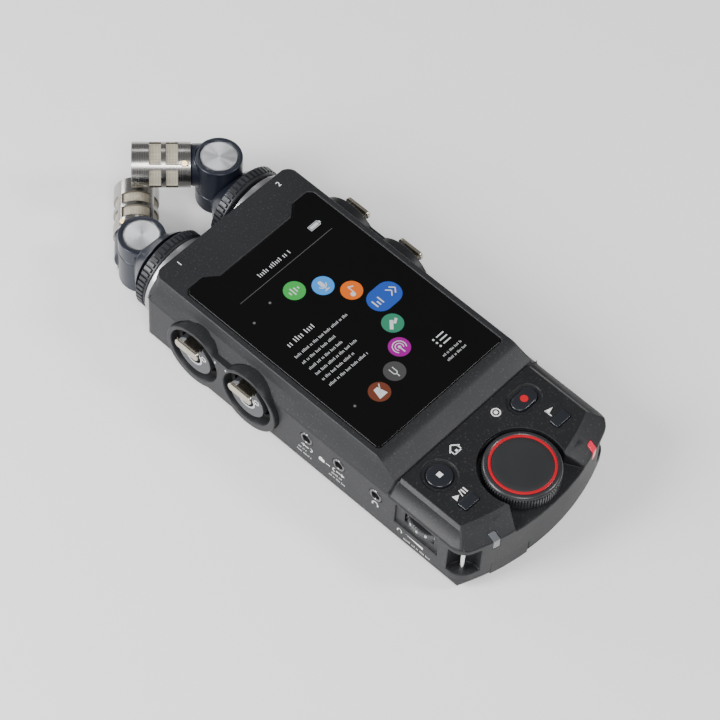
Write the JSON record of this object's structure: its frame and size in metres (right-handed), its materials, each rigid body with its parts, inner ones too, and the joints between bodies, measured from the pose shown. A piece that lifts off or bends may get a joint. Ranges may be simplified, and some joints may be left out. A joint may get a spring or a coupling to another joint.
{
  "type": "portable audio field recorder",
  "caption": "Hand-held field recorder with touch screen, jog dial, side combo inlets and a crossed pair of turning microphones on its top end.",
  "frame": {"origin": "bottom centre of the box of the whole object, which lies on its back on four feet", "axes": "+Z out of the screen, +Y along the case towards the microphones, +X to the right of someone reading the screen"},
  "size_m": [0.0884, 0.2095, 0.035],
  "materials": {
    "case_plastic": "finely textured",
    "panel_plastic": "speckled texture",
    "screen_glass": "polished",
    "black_plastic": "satin",
    "circuit_board": "solder mask",
    "steel_parts": "satin",
    "inlet_metal": "satin",
    "brass_parts": "satin",
    "clear_plastic": "polished",
    "red_plastic": "polished",
    "cell_wrap": "gloss sleeve",
    "foot_rubber": "matt",
    "seat_metal": "satin",
    "button_plastic": "satin",
    "dial_plastic": "satin",
    "latch_metal": "satin nickel",
    "ring_metal": "satin",
    "arm_metal": "satin",
    "spun_aluminium": "spun",
    "cage_metal": "satin",
    "capsule_gauze": "woven"
  },
  "bodies": {
    "recorder": {"front_cover": "case_plastic", "rear_cover": "case_plastic", "control_panel": "panel_plastic", "screen_glass": "screen_glass", "display_module": "black_plastic", "main_board": "circuit_board", "button_switches": "steel_parts", "dial_encoder": "steel_parts", "jack_pad_left": "case_plastic", "jack_pad_right": "case_plastic", "combo_jacks_left": "inlet_metal", "combo_jacks_right": "inlet_metal", "combo_contacts": "brass_parts", "mini_jacks": "black_plastic", "strap_posts": "steel_parts", "peak_light": "clear_plastic", "record_light": "red_plastic", "battery_cells": "cell_wrap", "battery_contacts": "steel_parts", "adapter_connector": "black_plastic", "card_slot": "steel_parts", "usb_port": "steel_parts", "tripod_bush": "brass_parts", "rubber_feet": "foot_rubber", "case_screws": "steel_parts", "speaker": "black_plastic", "mic_mount_left": "seat_metal", "mic_mount_right": "seat_metal", "mic_neck_left": "arm_metal", "mic_neck_right": "arm_metal", "neck_discs": "spun_aluminium"},
    "dial": {"jog_dial": "dial_plastic", "dial_ring": "red_plastic"},
    "battery_door": {"battery_door": "case_plastic"},
    "adapter_cover": {"adapter_cover": "case_plastic"},
    "card_door": {"card_door": "case_plastic"},
    "power_switch": {"power_switch": "black_plastic"},
    "record_button": {"record_button": "button_plastic"},
    "stop_button": {"stop_button": "button_plastic"},
    "play_button": {"play_button": "button_plastic"},
    "mark_button": {"mark_button": "button_plastic"},
    "volume_wheel": {"volume_wheel": "dial_plastic"},
    "latch_left_upper": {"latch_left_upper": "latch_metal"},
    "latch_left_lower": {"latch_left_lower": "latch_metal"},
    "latch_right_upper": {"latch_right_upper": "latch_metal"},
    "latch_right_lower": {"latch_right_lower": "latch_metal"},
    "lock_ring_left": {"lock_ring_left": "ring_metal"},
    "lock_ring_right": {"lock_ring_right": "ring_metal"},
    "mic_arm_left": {"mic_arm_left": "arm_metal", "pivot_disc_left": "spun_aluminium", "capsule_cage_left": "cage_metal", "capsule_mesh_left": "capsule_gauze", "capsule_left": "black_plastic", "cage_screw_left": "brass_parts"},
    "mic_arm_right": {"mic_arm_right": "arm_metal", "pivot_disc_right": "spun_aluminium", "capsule_cage_right": "cage_metal", "capsule_mesh_right": "capsule_gauze", "capsule_right": "black_plastic", "cage_screw_right": "brass_parts"}
  },
  "joints": [
    {"name": "battery_door_hinge", "type": "hinge", "parent": "recorder", "child": "battery_door", "pos_m": [0, -0.0703, 0.0016], "axis": [-1, 0, 0], "range_deg": [0, 100]},
    {"name": "adapter_cover_pull", "type": "slide", "parent": "recorder", "child": "adapter_cover", "axis": [0, -1, 0], "range_m": [0, 0.01]},
    {"name": "card_door_hinge", "type": "hinge", "parent": "recorder", "child": "card_door", "pos_m": [0.0376, -0.063, 0.0177], "axis": [0, 1, 0], "range_deg": [0, 100]},
    {"name": "power_slide", "type": "slide", "parent": "recorder", "child": "power_switch", "axis": [0, 1, 0], "range_m": [0, 0.003]},
    {"name": "record_press", "type": "slide", "parent": "recorder", "child": "record_button", "axis": [0, 0, -1], "range_m": [0, 0.0005], "stiffness_N_per_m": 600},
    {"name": "stop_press", "type": "slide", "parent": "recorder", "child": "stop_button", "axis": [0, 0, -1], "range_m": [0, 0.0005], "stiffness_N_per_m": 600},
    {"name": "play_press", "type": "slide", "parent": "recorder", "child": "play_button", "axis": [0, 0, -1], "range_m": [0, 0.0005], "stiffness_N_per_m": 600},
    {"name": "mark_press", "type": "slide", "parent": "recorder", "child": "mark_button", "axis": [0, 0, -1], "range_m": [0, 0.0005], "stiffness_N_per_m": 600},
    {"name": "dial_turn", "type": "hinge", "parent": "recorder", "child": "dial", "pos_m": [0, -0.0895, 0.025], "axis": [0, 0, 1], "continuous": true},
    {"name": "volume_turn", "type": "hinge", "parent": "recorder", "child": "volume_wheel", "pos_m": [-0.029, -0.0771, 0.0189], "axis": [0, 0, 1], "range_deg": [-150, 150]},
    {"name": "latch_left_upper_press", "type": "slide", "parent": "recorder", "child": "latch_left_upper", "axis": [1, 0, 0], "range_m": [0, 0.0012], "stiffness_N_per_m": 400},
    {"name": "latch_left_lower_press", "type": "slide", "parent": "recorder", "child": "latch_left_lower", "axis": [1, 0, 0], "range_m": [0, 0.0012], "stiffness_N_per_m": 400},
    {"name": "latch_right_upper_press", "type": "slide", "parent": "recorder", "child": "latch_right_upper", "axis": [-1, 0, 0], "range_m": [0, 0.0012], "stiffness_N_per_m": 400},
    {"name": "latch_right_lower_press", "type": "slide", "parent": "recorder", "child": "latch_right_lower", "axis": [-1, 0, 0], "range_m": [0, 0.0012], "stiffness_N_per_m": 400},
    {"name": "lock_ring_left_turn", "type": "hinge", "parent": "recorder", "child": "lock_ring_left", "pos_m": [-0.0196, 0.0605, 0.0174], "axis": [0, 1, 0], "continuous": true},
    {"name": "lock_ring_right_turn", "type": "hinge", "parent": "recorder", "child": "lock_ring_right", "pos_m": [0.0196, 0.0605, 0.0174], "axis": [0, 1, 0], "continuous": true},
    {"name": "mic_arm_left_turn", "type": "hinge", "parent": "recorder", "child": "mic_arm_left", "pos_m": [-0.0196, 0.0748, 0.0174], "axis": [0, 0, 1], "range_deg": [0, 90]},
    {"name": "mic_arm_right_turn", "type": "hinge", "parent": "recorder", "child": "mic_arm_right", "pos_m": [0.0196, 0.0748, 0.0174], "axis": [0, 0, 1], "range_deg": [-90, 0]}
  ]
}
